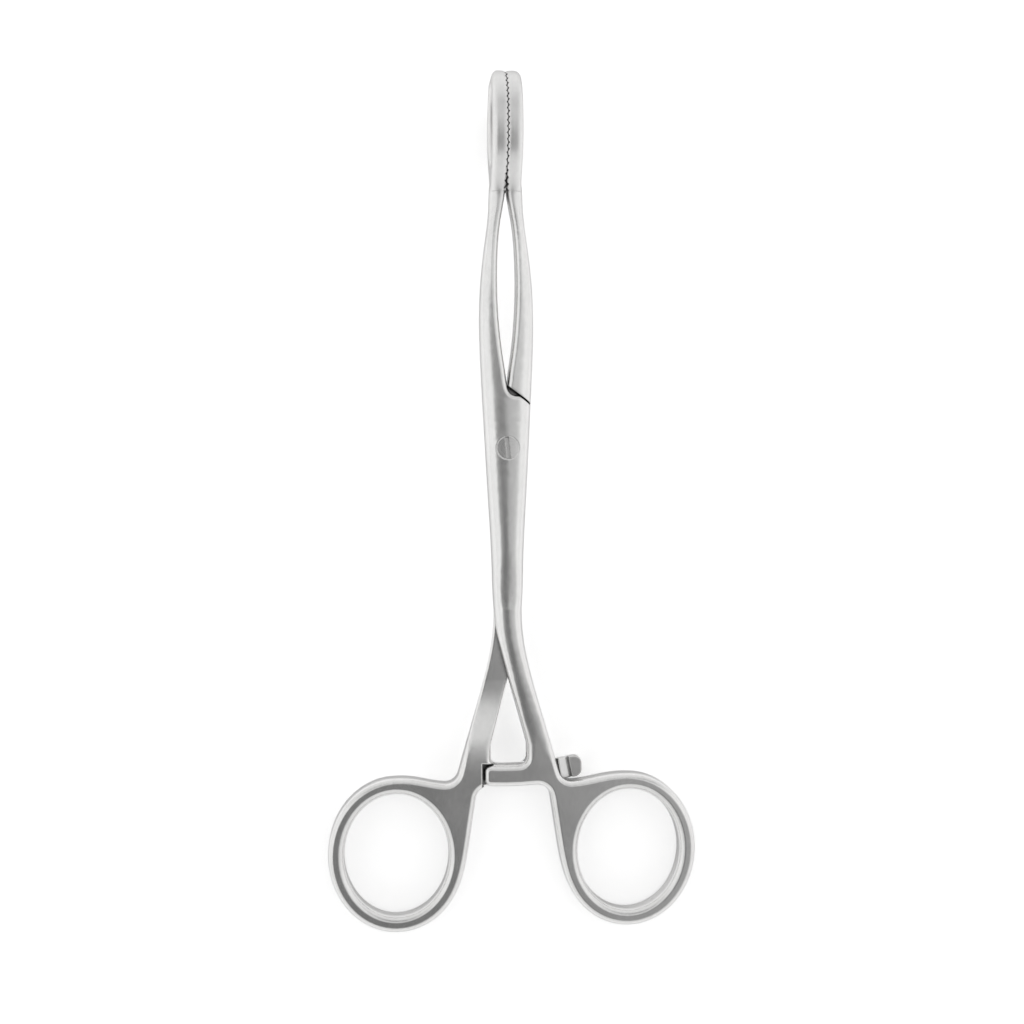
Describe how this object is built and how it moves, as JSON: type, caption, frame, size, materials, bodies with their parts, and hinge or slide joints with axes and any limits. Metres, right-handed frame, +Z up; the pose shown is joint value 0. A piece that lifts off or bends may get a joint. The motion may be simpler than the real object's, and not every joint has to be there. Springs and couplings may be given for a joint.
{
  "type": "tongue forceps",
  "caption": "Slender locking forceps with oval serrated ring jaws, a screwed lap joint, a toothed ratchet and finger rings.",
  "frame": {"origin": "On the surface the forceps lie on, below the middle of their outer box.", "axes": "+Z up from that surface; +Y along the forceps from the finger rings to the jaws; +X to the finger ring of the upper half."},
  "size_m": [0.0708, 0.1652, 0.015],
  "materials": {
    "satin_steel": "satin",
    "screw_steel": "satin"
  },
  "bodies": {
    "rear": {"lower_half": "satin_steel", "joint_screw": "screw_steel"},
    "front": {"upper_half": "satin_steel"}
  },
  "joints": [
    {"name": "lap_joint", "type": "hinge", "parent": "rear", "child": "front", "pos_m": [-0.0008, 0.00974, 0.00544], "axis": [0, -0.0332, 0.9994], "range_deg": [0, 50]}
  ]
}
